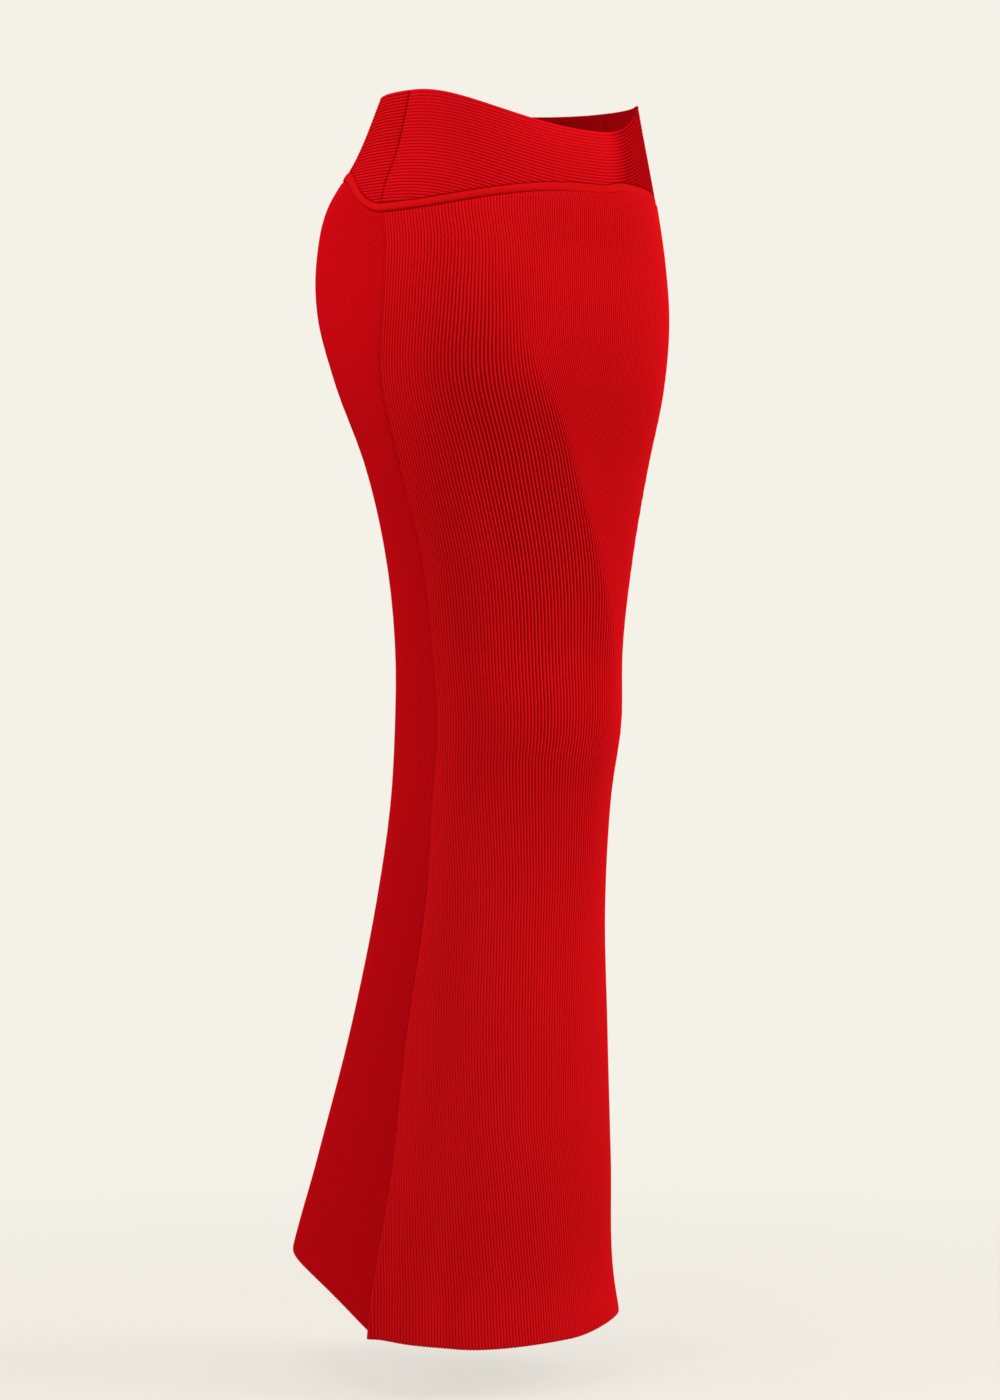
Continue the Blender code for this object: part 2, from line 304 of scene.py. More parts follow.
def read_half(side, name, height, share):
    """One value of a measured half at a height and a share of the walk."""
    return between(HALVES[side][name], level_row(height), share * (len(SHARES) - 1))


def length_at(side, height):
    """How far it is from seam to seam at a height."""
    return np.interp(height, LEVELS, HALVES[side]["length"])


print("girths at hips and knees:",
      [round(float(length_at(FRONT, z) + length_at(BACK, z)), 3) for z in (-0.15, -0.5)])

# %% [markdown]
# ## Edges
#
# The top edge dips at the front, the waistband's lower edge is lowest at the side seams, and the
# hem rises behind them. Booleans could cut these edges, but they would leave ragged ribs. So each
# edge is a short formula of the angle from the centre line, and every grid begins and ends on it.

# %% Edge helpers
SIDE_TILT = math.radians(2.0)      # waist and trim are a little higher on the left
SEAM_GAP = 0.1 * MM                # the sewn edges all but touch


def smooth_step(value):
    """0 below 0, 1 above 1, and a smooth rise between."""
    value = np.clip(value, 0.0, 1.0)
    return value * value * (3 - 2 * value)


def behind_seam(angle, rise, power):
    """0 at a side seam, towards 1 at centre back; a higher power starts more gently."""
    turned = np.clip(math.pi / 2 - np.abs(angle), 0.0, None)
    return 1 - np.exp(-(turned / rise) ** power)


print("the waist tilts by", round(math.degrees(SIDE_TILT), 1), "degrees")

# %% Top edge
DIP_DEPTH = 34 * MM
DIP_REACH_LEFT = math.radians(55.0)    # the dip ends sooner on the left than on the right
DIP_POWER_LEFT = 1.85
DIP_POWER_RIGHT = 2.1


def top_edge(side, angle, x):
    """Height of the waistband's top edge."""
    tilt = x * math.tan(SIDE_TILT)
    if side == BACK:
        return DIP_DEPTH + tilt
    left = np.sin(math.pi / 2 * np.clip(angle / DIP_REACH_LEFT, 0, 1)) ** DIP_POWER_LEFT
    right = np.sin(np.clip(-angle, 0, math.pi / 2)) ** DIP_POWER_RIGHT
    return DIP_DEPTH * (left + right) + tilt


print("the top edge dips by", DIP_DEPTH / MM, "mm")

# %% Lower edge of the waistband
BAND_BOTTOM_FRONT = -45.3 * MM
BAND_BOTTOM_SEAM = -60.3 * MM
BAND_BOTTOM_BACK = -25.5 * MM
BAND_DROP_POWER = 2.4              # a higher power keeps the front level for longer
BAND_LIFT = 3.5 * MM               # how much higher the edge is on the front's left
BAND_LIFT_WIDTH = 30 * MM
BAND_RISE_ANGLE = math.radians(18.0)
BAND_RISE_POWER = 1.8


def band_bottom(side, angle, x):
    """Height of the waistband's lower edge."""
    tilt = x * math.tan(SIDE_TILT)
    if side == BACK:
        rise = behind_seam(angle, BAND_RISE_ANGLE, BAND_RISE_POWER)
        return BAND_BOTTOM_SEAM + (BAND_BOTTOM_BACK - BAND_BOTTOM_SEAM) * rise + tilt
    drop = (BAND_BOTTOM_SEAM - BAND_BOTTOM_FRONT) * np.abs(np.sin(angle)) ** BAND_DROP_POWER
    lift = BAND_LIFT * smooth_step(x / BAND_LIFT_WIDTH) * np.cos(angle)
    return BAND_BOTTOM_FRONT + drop + lift + tilt


print("waistband ends at", round(band_bottom(FRONT, 0.0, 0.0), 4), "in front")

# %% Hem
HEM_FRONT = -1023 * MM
HEM_SEAM = -1016 * MM
HEM_SEAM_BACK = -1011.5 * MM
HEM_BACK = -958 * MM
HEM_DROP_POWER = 6
HEM_LIFT = 8.5 * MM                # how much higher the hem is towards the left seam
HEM_LIFT_WIDTH = 100 * MM
HEM_RISE_ANGLE = math.radians(24.0)
HEM_RISE_POWER = 1.18


def hem_edge(side, angle, x):
    """Height of the hem."""
    lift = HEM_LIFT * smooth_step(x / HEM_LIFT_WIDTH)
    if side == BACK:
        rise = behind_seam(angle, HEM_RISE_ANGLE, HEM_RISE_POWER)
        return HEM_SEAM_BACK + (HEM_BACK - HEM_SEAM_BACK) * rise + lift
    drop = (HEM_SEAM - HEM_FRONT) * np.abs(np.sin(angle)) ** HEM_DROP_POWER
    return HEM_FRONT + drop + lift


print("hem at", round(hem_edge(FRONT, 0.0, 0.0), 4), "in front")

# %% Laying points on the outline
SETTLING_STEPS = 8
TANGENT_REACH = 0.004              # share of the walk to either side of a point


def lay(side, walk_at, height_at):
    """Points whose walk depends on their height and whose height depends on where they lie.

    walk_at(height, length) is the walk from the right seam, and height_at(angle, x) the height.
    Returns x, y, z, the outward direction, the walk, its whole length and the angle.
    """
    height = height_at(0.0, 0.0)
    for _ in range(SETTLING_STEPS):
        length = length_at(side, height)
        walk = np.clip(walk_at(height, length), SEAM_GAP / 2, length - SEAM_GAP / 2)
        share = walk / length
        x = read_half(side, "x", height, share)
        angle = read_half(side, "angle", height, share)
        height = height_at(angle, x)
    before, after = np.clip(share - TANGENT_REACH, 0, 1), np.clip(share + TANGENT_REACH, 0, 1)
    along_x = read_half(side, "x", height, after) - read_half(side, "x", height, before)
    along_y = read_half(side, "y", height, after) - read_half(side, "y", height, before)
    size = np.hypot(along_x, along_y)
    return {
        "x": x, "y": read_half(side, "y", height, share), "z": height,
        "out_x": -side * along_y / size, "out_y": side * along_x / size,
        "walk": walk, "length": length, "angle": angle}


def from_seams(laid):
    """How far each laid point is from the nearer side seam."""
    return np.minimum(laid["walk"], laid["length"] - laid["walk"]) - SEAM_GAP / 2


def lifted(laid, outside):
    """The laid points moved outwards, as an array whose last axis is x, y, z."""
    x = laid["x"] + laid["out_x"] * outside
    y = laid["y"] + laid["out_y"] * outside
    return np.stack([x, y, laid["z"]], axis=-1)


print("points are laid in", SETTLING_STEPS, "steps")

# %% [markdown]
# ## A piece of cloth from its grids
#
# Cloth has two sides and an edge. A Solidify modifier would copy every rib to the inside, where
# this knit is plain and hidden, so the inside is its own coarser grid. The outer grid also carries
# two values for the finish: a rib coordinate in a UV map, and each point's height on its rib, with
# the painted shade of valleys and seams worked in.

# %% Faces of a shell
def grid_faces(number):
    """Faces between the neighbouring points of a grid of numbered points."""
    return np.stack([
        number[:-1, :-1], number[1:, :-1], number[1:, 1:], number[:-1, 1:]],
        axis=-1).reshape(-1, 4).tolist()


def rim_faces(first, second):
    """Faces between two rows of numbered points of the same length."""
    return np.stack([first[:-1], first[1:], second[1:], second[:-1]], axis=-1).tolist()


def inside_faces(number, picked):
    """Faces of the inside: every row, but only the picked columns of the turned-in grid.

    The first and last rows keep all their points, so that they close against the edges.
    """
    quads = np.stack([
        number[1:-2, picked[:-1]], number[1:-2, picked[1:]],
        number[2:-1, picked[1:]], number[2:-1, picked[:-1]]], axis=-1)
    faces = quads.reshape(-1, 4).tolist()
    for left, right in zip(picked[:-1], picked[1:]):
        top, bottom = number[0, left:right + 1], number[-1, left:right + 1]
        faces.append(top.tolist() + [number[1, right], number[1, left]])
        faces.append([number[-2, left], number[-2, right]] + bottom[::-1].tolist())
    return faces


print("face helpers ready")

# %% Building a shell
WELD_DISTANCE = 0.002 * MM
INSIDE_RIDGE = 0.4                 # the plain inside counts as less than half way up a rib, so it takes some painted shade


def weld(mesh):
    """Join the points that an edge has cut back to the same place."""
    work = bmesh.new()
    work.from_mesh(mesh)
    bmesh.ops.remove_doubles(work, verts=work.verts, dist=WELD_DISTANCE)
    loose = [point for point in work.verts if not point.link_faces]
    bmesh.ops.delete(work, geom=loose, context="VERTS")
    work.to_mesh(mesh)
    work.free()


def carry_finish(mesh, rib, ridge):
    """Give each outer point, and the inside point behind it, the values for its finish."""
    corners = np.zeros(len(mesh.loops), dtype=np.int32)
    mesh.loops.foreach_get("vertex_index", corners)
    ribs = np.concatenate([rib.reshape(-1, 2)] * 2)
    mesh.uv_layers.new(name="ribs").data.foreach_set("uv", ribs[corners].ravel())
    heights = np.concatenate([ridge.ravel(), np.full(ridge.size, INSIDE_RIDGE)])
    mesh.attributes.new("ridge", "FLOAT", "POINT").data.foreach_set("value", heights)


def cloth_shell(name, side, outer, turned_in, rib, ridge, inside_step):
    """A closed object from a grid of outer points and the same grid moved to the inside.

    rib holds two numbers for each outer point, and ridge one. The inside keeps one column in
    every inside_step.
    """
    rows, columns = outer.shape[:2]
    count = rows * columns
    number = np.arange(count).reshape(rows, columns)
    picked = np.unique(np.append(np.arange(0, columns, inside_step), columns - 1))
    faces = grid_faces(number)
    for rim in (number[0], number[:, -1], number[-1, ::-1], number[::-1, 0]):
        faces += rim_faces(rim, rim + count)
    inside_start = len(faces)
    faces += inside_faces(number + count, picked)
    if side == FRONT:
        faces = [face[::-1] for face in faces]
    mesh = bpy.data.meshes.new(name)
    mesh.from_pydata(np.concatenate([outer, turned_in]).reshape(-1, 3).tolist(), [], faces)
    carry_finish(mesh, rib, ridge)
    material_index = np.zeros(len(mesh.polygons), dtype=np.int32)
    material_index[inside_start:] = 1
    mesh.polygons.foreach_set("material_index", material_index)
    weld(mesh)
    mesh.shade_smooth()
    piece = bpy.data.objects.new(name, mesh)
    bpy.context.scene.collection.objects.link(piece)
    return piece


print("shell builder ready")

# %% [markdown]
# ## The knit
#
# Up close the knit is a rayon rib: soft shining crests of small V stitches with dark valleys
# between. Real stitches would take millions of faces and are under a pixel here. The ribs are
# modelled, and one node group draws the stitches on them from the rib coordinate. A second group
# turns the place on the rib into colour: the yarn's own slightly uneven red, painted shade deep in
# the valleys and a painted highlight on the crests. Both are used by every material of the skirt.

# %% Node helpers
def node_group(name, inputs, outputs):
    """A new shader node group with its sockets, and its input and output nodes."""
    group = bpy.data.node_groups.new(name, "ShaderNodeTree")
    for socket, kind, value in inputs:
        made = group.interface.new_socket(socket, in_out="INPUT", socket_type=kind)
        made.default_value = value
    for socket, kind in outputs:
        group.interface.new_socket(socket, in_out="OUTPUT", socket_type=kind)
    return group, group.nodes.new("NodeGroupInput"), group.nodes.new("NodeGroupOutput")


def calculate(tree, operation, *values):
    """A Math node fed by numbers or sockets; returns its result."""
    node = tree.nodes.new("ShaderNodeMath")
    node.operation = operation
    for socket, value in zip(node.inputs, values):
        if isinstance(value, (int, float)):
            socket.default_value = value
        else:
            tree.links.new(value, socket)
    return node.outputs[0]


def blend(tree, factor, first, second):
    """The colour between two colour sockets; returns its socket."""
    node = tree.nodes.new("ShaderNodeMix")
    node.data_type = "RGBA"
    tree.links.new(factor, node.inputs["Factor"])
    tree.links.new(first, node.inputs["A"])
    tree.links.new(second, node.inputs["B"])
    return node.outputs["Result"]


def noise(tree, scale, detail):
    """A Noise texture's value, over the object's own coordinates."""
    node = tree.nodes.new("ShaderNodeTexNoise")
    node.inputs["Scale"].default_value = scale
    node.inputs["Detail"].default_value = detail
    place = tree.nodes.new("ShaderNodeTexCoord")
    tree.links.new(place.outputs["Object"], node.inputs["Vector"])
    return node.outputs["Fac"]


print("node helpers ready")

# %% Stitches
FIBRE_SCALE = 1500.0


def make_stitches():
    """Height of the small V stitches on each rib, from the rib coordinate."""
    group, entry, leave = node_group(
        "knit_stitches",
        [("Slant", "NodeSocketFloat", 0.35), ("Fuzz", "NodeSocketFloat", 0.25)],
        [("Height", "NodeSocketFloat"), ("Loop", "NodeSocketFloat")])
    ribs = group.nodes.new("ShaderNodeUVMap")
    ribs.uv_map = "ribs"
    parts = group.nodes.new("ShaderNodeSeparateXYZ")
    group.links.new(ribs.outputs["UV"], parts.inputs[0])
    across = calculate(group, "FRACT", parts.outputs["X"])
    off_centre = calculate(group, "ABSOLUTE", calculate(group, "SUBTRACT", across, 0.5))
    slant = calculate(group, "MULTIPLY", off_centre, entry.outputs["Slant"])
    slanted = calculate(group, "ADD", parts.outputs["Y"], slant)
    loop = calculate(group, "PINGPONG", slanted, 0.5)
    loop = calculate(group, "MULTIPLY", loop, 2.0)
    fibres = noise(group, FIBRE_SCALE, 2.0)
    fuzz = calculate(group, "MULTIPLY", fibres, entry.outputs["Fuzz"])
    group.links.new(calculate(group, "ADD", loop, fuzz), leave.inputs["Height"])
    group.links.new(loop, leave.inputs["Loop"])
    return group


STITCHES = make_stitches()
print("group", STITCHES.name)

# %% Yarn colour, with painted shade and highlight
PATCH_SCALE = 420.0                # of the patches where the yarn is uneven
LOOP_SHARE = 0.6                   # how much the stitches add to the unevenness
BODY_RISE = 1.6                    # how soon up the rib the valley's painted shade is gone
HIGHLIGHT_START = 0.62                 # how far up the rib the crest's painted highlight begins
HIGHLIGHT_RISE = 2.6


def make_yarn_with_rib_light():
    """Yarn colour, a little uneven, with painted shade in valleys and a painted highlight on
    crests.
    """
    group, entry, leave = node_group(
        "yarn_with_painted_rib_light",
        [("Valley Shade", "NodeSocketColor", (0.3, 0.0, 0.0, 1)),
         ("Body", "NodeSocketColor", (0.6, 0.0, 0.0, 1)),
         ("Crest Highlight", "NodeSocketColor", (0.7, 0.01, 0.01, 1)),
         ("Loop", "NodeSocketFloat", 0.5),
         ("Unevenness", "NodeSocketFloat", 0.2)],
        [("Color", "NodeSocketColor")])
    ridge = group.nodes.new("ShaderNodeAttribute")
    ridge.attribute_name = "ridge"
    patches = calculate(group, "SUBTRACT", noise(group, PATCH_SCALE, 3.0), 0.5)
    patches = calculate(group, "MULTIPLY", patches, entry.outputs["Unevenness"])
    loops = calculate(group, "SUBTRACT", entry.outputs["Loop"], 0.5)
    loop_depth = calculate(group, "MULTIPLY", entry.outputs["Unevenness"], LOOP_SHARE)
    loops = calculate(group, "MULTIPLY", loops, loop_depth)
    height = calculate(group, "ADD", ridge.outputs["Fac"], patches)
    height = calculate(group, "ADD", height, loops)
    out_of_valley_shade = calculate(group, "MULTIPLY", height, BODY_RISE)
    crest_highlight = calculate(group, "SUBTRACT", height, HIGHLIGHT_START)
    crest_highlight = calculate(group, "MULTIPLY", crest_highlight, HIGHLIGHT_RISE)
    colour = blend(group, out_of_valley_shade, entry.outputs["Valley Shade"], entry.outputs["Body"])
    colour = blend(group, crest_highlight, colour, entry.outputs["Crest Highlight"])
    group.links.new(colour, leave.inputs["Color"])
    return group


YARN_WITH_RIB_LIGHT = make_yarn_with_rib_light()
print("group", YARN_WITH_RIB_LIGHT.name)

# %% Knit materials
UNEVENNESS = 0.35
STITCH_DEPTH = 0.12 * MM
STITCH_STRENGTH = 0.6
KNIT_ROUGHNESS = 0.72
SHEEN = 0.25
SHEEN_ROUGHNESS = 0.45
SHEEN_TINT = (1.0, 0.01, 0.012)


def knit(name, valley_shade_colour, body, crest):
    """A knit material: yarn colour with painted shade and highlight, stitches as a bump,
    and the sheen of soft fibres.
    """
    material = bpy.data.materials.new(name)
    material.use_nodes = True
    tree = material.node_tree
    shader = tree.nodes["Principled BSDF"]
    stitches = tree.nodes.new("ShaderNodeGroup")
    stitches.node_tree = STITCHES
    yarn_and_rib_light = tree.nodes.new("ShaderNodeGroup")
    yarn_and_rib_light.node_tree = YARN_WITH_RIB_LIGHT
    yarn_and_rib_light.inputs["Valley Shade"].default_value = (*valley_shade_colour, 1.0)
    yarn_and_rib_light.inputs["Body"].default_value = (*body, 1.0)
    yarn_and_rib_light.inputs["Crest Highlight"].default_value = (*crest, 1.0)
    yarn_and_rib_light.inputs["Unevenness"].default_value = UNEVENNESS
    tree.links.new(stitches.outputs["Loop"], yarn_and_rib_light.inputs["Loop"])
    tree.links.new(yarn_and_rib_light.outputs["Color"], shader.inputs["Base Color"])
    bump = tree.nodes.new("ShaderNodeBump")
    bump.inputs["Strength"].default_value = STITCH_STRENGTH
    bump.inputs["Distance"].default_value = STITCH_DEPTH
    tree.links.new(stitches.outputs["Height"], bump.inputs["Height"])
    tree.links.new(bump.outputs["Normal"], shader.inputs["Normal"])
    shader.inputs["Roughness"].default_value = KNIT_ROUGHNESS
    shader.inputs["Specular IOR Level"].default_value = 0.0
    shader.inputs["Sheen Weight"].default_value = SHEEN
    shader.inputs["Sheen Roughness"].default_value = SHEEN_ROUGHNESS
    shader.inputs["Sheen Tint"].default_value = (*SHEEN_TINT, 1.0)
    return material


# the valley colour is painted shade, the crest colour a painted highlight, the body the yarn's own
PANEL_KNIT = knit(
    "panel_knit", valley_shade_colour=(0.05, 0.0002, 0.0006), body=(0.54, 0.0018, 0.0048),
    crest=(0.68, 0.0065, 0.0098))
BACK_KNIT = knit(
    "back_knit", valley_shade_colour=(0.20, 0.0006, 0.0018), body=(0.52, 0.0018, 0.0050),
    crest=(0.57, 0.003, 0.007))
BAND_KNIT = knit(
    "band_knit", valley_shade_colour=(0.10, 0.0003, 0.0010), body=(0.55, 0.0020, 0.0054),
    crest=(0.62, 0.005, 0.009))
ROLL_KNIT = knit(
    "roll_knit", valley_shade_colour=(0.30, 0.0008, 0.0025), body=(0.52, 0.0020, 0.0054),
    crest=(0.60, 0.006, 0.006))
# a darker copy of the knit for the inside: painted shade
SHADED_INSIDE_KNIT = knit(
    "shaded_inside_knit", valley_shade_colour=(0.24, 0.0006, 0.0020), body=(0.40, 0.0014, 0.004),
    crest=(0.42, 0.002, 0.005))
print("materials:", [m.name for m in bpy.data.materials])

# %% Dressing a piece
def dress(piece, node, outside):
    """Give a piece its materials and let it stand for its solid."""
    piece.data.materials.append(outside)
    piece.data.materials.append(SHADED_INSIDE_KNIT)
    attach(piece, "root")
    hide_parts(node)
    triangles = sum(len(face.vertices) - 2 for face in piece.data.polygons)
    print(piece.name, "has", triangles, "triangles")


print("every piece has", SHADED_INSIDE_KNIT.name, "inside")

# %% [markdown]
# ## Skirt panels
#
# Each panel is one width of vertical rib. Over hips and thighs the front panel's ribs keep in step
# with the right seam, so they lean with it. Below the knee they hang straight while the seam runs
# outwards, and new ribs come out of it all the way down to the hem. An array of equal ribs could do
# neither. So a rib is placed by counting pitches from a start at the seam, and the seams cut off
# whatever falls outside the panel.

# %% Rib levels
RIB_STATIONS = (0, 50, 100, 150, 200, 300)    # walked from the right seam
RIB_LEVELS = (
    # height, rib pitch at each station, ribs that have come out of the seam, boldness of valleys
    # (depth and painted shade)
    (-40, (3.1, 2.9, 2.55, 2.45, 2.6, 2.8), 0, 1.7),
    (-92, (3.1, 2.9, 2.55, 2.45, 2.6, 2.8), 0, 1.7),
    (-177, (3.0, 2.85, 3.2, 2.5, 2.7, 2.8), 0, 1.7),
    (-227, (2.9, 2.8, 3.45, 3.3, 2.5, 2.8), 0, 1.8),
    (-278, (2.8, 2.75, 3.7, 3.8, 2.5, 2.7), 0, 2.5),
    (-337, (2.6, 2.65, 3.8, 3.9, 2.9, 2.6), 0, 2.6),
    (-396, (2.5, 2.65, 3.7, 3.9, 3.3, 2.6), 0, 2.1),
    (-463, (2.4, 2.55, 3.6, 3.8, 3.2, 2.6), 0, 1.6),
    (-531, (2.5, 2.5, 3.3, 3.7, 2.8, 2.5), 0, 1.2),
    (-674, (2.2, 2.3, 3.1, 3.3, 2.7, 2.5), 8, 0.95),
    (-842, (2.6, 2.2, 2.7, 3.1, 2.8, 2.5), 17, 0.9),
    (-977, (3.0, 2.4, 2.8, 3.3, 3.0, 2.6), 26, 1.0),
    (-1032, (3.0, 2.5, 2.8, 3.3, 3.0, 2.6), 28, 1.1),
)
LEVEL_HEIGHTS, LEVEL_PITCHES, LEVEL_NEW_RIBS, LEVEL_BOLDNESS = (
    np.array(column) for column in zip(*RIB_LEVELS[::-1]))
PANEL_RIBS = {FRONT: (-28, 168), BACK: (-108, 108)}    # first, and one past the last
print("rib pitches:", LEVEL_PITCHES.min(), "to", LEVEL_PITCHES.max(), "mm")

# %% A chart of the front's ribs
WALKS = np.arange(0.0, 0.48, 0.005)    # places along the cloth, past the widest panel
SMOOTHED_OVER = 9                  # points of the chart


def smoothed(lines):
    """Each line of the chart averaged over its neighbouring points."""
    weights = np.hanning(SMOOTHED_OVER) / np.hanning(SMOOTHED_OVER).sum()
    beyond = SMOOTHED_OVER // 2
    return np.stack([np.convolve(np.pad(line, beyond, "edge"), weights, "valid") for line in lines])


def chart_front_ribs():
    """For each level of the measured half: pitch on a grid of walks, and the rib reached there."""
    heights = LEVEL_HEIGHTS * MM
    new_ribs = np.interp(LEVELS, heights, LEVEL_NEW_RIBS)
    at_stations = np.stack(
        [np.interp(LEVELS, heights, station) for station in (LEVEL_PITCHES * MM).T], axis=-1)
    stations = np.array(RIB_STATIONS) * MM
    pitch = np.stack([np.interp(WALKS, stations, level) for level in at_stations])
    pitch = smoothed(smoothed(pitch).T).T
    steps = (WALKS[1] - WALKS[0]) * 2 / (pitch[:, 1:] + pitch[:, :-1])
    ribs = np.concatenate([np.zeros((len(LEVELS), 1)), np.cumsum(steps, axis=1)], axis=1)
    return pitch, ribs - new_ribs[:, None]


def front_ribs_across(height):
    """How many ribs the front panel has from seam to seam at a height."""
    line = FRONT_RIB_AT[np.abs(LEVELS - height).argmin()]
    return int(np.interp(length_at(FRONT, height), WALKS, line) - line[0])


FRONT_PITCH, FRONT_RIB_AT = chart_front_ribs()
CHARTED = np.arange(PANEL_RIBS[FRONT][0], PANEL_RIBS[FRONT][1] + 1)
FRONT_WALK_TO = np.stack([
    np.interp(CHARTED, line, WALKS, left=0.0, right=WALKS[-1]) for line in FRONT_RIB_AT])
print("ribs on the front at hips, knees, hem:", [front_ribs_across(z) for z in (-0.15, -0.5, -1.0)])

# %% Where ribs run
BACK_PITCH = 2.5 * MM


def walk_to(side, rib):
    """A function of height and length for lay(), which gives the walk to a rib.

    The front's ribs are counted from the right seam, and the back's from its middle.
    """
    if side == BACK:
        return lambda height, length: length / 2 + rib * BACK_PITCH
    return lambda height, length: between(FRONT_WALK_TO, level_row(height), rib - CHARTED[0])


def rib_pitch(side, laid):
    """How wide a rib is at each laid point; the back's are all alike."""
    if side == BACK:
        return np.full_like(laid["z"], BACK_PITCH)
    return between(FRONT_PITCH, level_row(laid["z"]), laid["walk"] / (WALKS[1] - WALKS[0]))


def rib_boldness(side, laid):
    """Depth and painted shade of the valleys at each laid point; the back's are all alike."""
    if side == BACK:
        return np.ones_like(laid["z"])
    return np.interp(laid["z"], LEVEL_HEIGHTS * MM, LEVEL_BOLDNESS)


print("back pitch:", BACK_PITCH / MM, "mm")

# %% [markdown]
# ## Folds
#
# Worn cloth shows a tight line from the right hip across the thigh to the knee, where the knit is
# pulled, and a long shallow flute beside the right seam down to the hem, where the front's edge
# turns out a little. A cloth simulation could find them, but not in the places where they are
# wanted. So they are pushed out of the smooth outline by small amounts, from tables of their own.

# %% Folds
FOLD_COLUMNS = ("height", "walk", "push")
THIGH_CREST = (
    (-60, 95, 0), (-110, 110, 1), (-177, 125, 4), (-227, 150, 8), (-278, 162, 10),
    (-337, 170, 10), (-396, 180, 8), (-440, 190, 4), (-520, 205, 0), (-600, 215, 0))
CREST_BEFORE = 60 * MM             # how far the crest's slopes reach on either side
CREST_BEYOND = 27 * MM
CREST_POWER = 1.4
HEM_FLUTE = (
    (-700, 60, 0), (-800, 62, 1), (-900, 66, 2.5), (-1030, 70, 4))
FLUTE_WIDTH = 16 * MM
FLUTE_SPACING = 36 * MM            # from the flute's trough to the rise beside the seam
FLUTE_RISE = 0.6                   # of the trough's depth
FLICK = 5 * MM                     # how far the front's right edge turns out at the hem
FLICK_HEIGHT = 200 * MM
FLICK_WIDTH = 7 * MM
FLICK_POWER = 1.5


def bell(distance, reach, power=2):
    """1 at no distance and towards 0 beyond the reach; a lower power makes a sharper top."""
    return np.exp(-(np.abs(distance) / reach) ** power)


def folds_at(side, laid):
    """How far the folds stand out at each laid point; the back panel hangs smooth."""
    if side == BACK:
        return np.zeros_like(laid["z"])
    crest, flute = crest_at(laid["z"]), flute_at(laid["z"])
    beside = laid["walk"] - crest["walk"]
    reach = np.where(beside < 0, CREST_BEFORE, CREST_BEYOND)
    push = crest["push"] * bell(beside, reach, CREST_POWER)
    beside = laid["walk"] - flute["walk"]
    trough = bell(beside, FLUTE_WIDTH)
    rise = bell(beside + FLUTE_SPACING, FLUTE_WIDTH)
    lowered = smooth_step((HEM_FRONT + FLICK_HEIGHT - laid["z"]) / FLICK_HEIGHT)
    flick = FLICK * lowered ** 2 * bell(laid["walk"], FLICK_WIDTH, FLICK_POWER)
    return push + flick - flute["push"] * (trough - FLUTE_RISE * rise)


crest_at = smooth_curves(FOLD_COLUMNS, THIGH_CREST, len(FOLD_COLUMNS))
flute_at = smooth_curves(FOLD_COLUMNS, HEM_FLUTE, len(FOLD_COLUMNS))
print("the thigh's crest stands out", max(row[2] for row in THIGH_CREST), "mm")

# %% [markdown]
# A rib's cross-section is a rounded crest with a narrow valley: five columns of points to a rib.
# A bump could draw the ribs too, but the hem and the outline would then be plain, and a bump shows
# no valleys from the side. Near the seams the ribs sink into the seam, and at the hem each one ends
# in a small scallop.

# %% Rows and columns of a panel
RIB_PHASES = np.array([0.0, 0.13, 0.37, 0.63, 0.87])    # a rib's columns, in shares of its pitch
RIB_HEIGHTS = np.array([0.0, 0.67, 0.99, 0.99, 0.67])   # and how far up each one stands
PANEL_ROWS = {FRONT: 98, BACK: 78}
PANEL_LENGTH = 0.96                # nominal, from trim to hem
ROW_CROWDING = 0.72                # how much closer together the rows are at trim and hem
EDGE_STEPS = np.array([0.0, 0.5, 1.1, 1.9]) * MM    # extra rows at trim and hem


def rib_columns(first, last):
    """Rib coordinate and relative height of each column of points."""
    ribs = np.arange(first, last)
    coordinate = (ribs[:, None] + RIB_PHASES).ravel()
    return coordinate, np.tile(RIB_HEIGHTS, len(ribs))


def panel_rows(count):
    """Shares of the way from trim to hem, closer together at both ends."""
    even = np.linspace(0.0, 1.0, count)
    middle = even - ROW_CROWDING * np.sin(2 * math.pi * even) / (2 * math.pi)
    ends = EDGE_STEPS / PANEL_LENGTH
    return np.sort(np.concatenate([ends, middle[1:-1], 1 - ends[::-1]]))


print("rows of the front:", len(panel_rows(PANEL_ROWS[FRONT])))

# %% Where ribs sink
TRIM_HEIGHT = 7.2 * MM
PANEL_DROP = TRIM_HEIGHT + 0.3 * MM    # the panel starts just below the trim
END_REACH = 2.2 * MM               # from trim and hem, where the ribs begin to sink
END_DIP = 0.3 * MM                 # how far a piece's ends lie below the rest
END_RIB = 0.35                     # share of a rib's height that is left at an end
SEAM_REACH = {FRONT: 2.0 * MM, BACK: 1.2 * MM}    # where the ribs begin to sink into the seam
SEAM_DIP = 0.9 * MM
SEWN_BOTTOM = -330 * MM            # the front's sunken edge and its painted shade fade in above this height
SEWN_FADE = 140 * MM
MERGE_ANGLE = math.radians(45.0)   # right of centre front, where the trim begins to merge
MERGE_TURN = math.radians(50.0)


def near_end(inside):
    """What is left of a rib's height, from END_RIB at an end to all of it inside."""
    return END_RIB + (1 - END_RIB) * inside


def trim_merges(side, angle):
    """0 where the trim is a roll of its own, 1 where it runs into the panel at the front's left."""
    return (side == FRONT) * smooth_step((angle + MERGE_ANGLE) / MERGE_TURN)


def sewn_edge(side, laid):
    """1 where the front's edge is sunk into the seam and painted dark as shade, and 0 where it lies
    flat.
    """
    return (side == FRONT) * smooth_step((laid["z"] - SEWN_BOTTOM) / SEWN_FADE)


print("panels start", round(PANEL_DROP / MM, 1), "mm below the waistband")

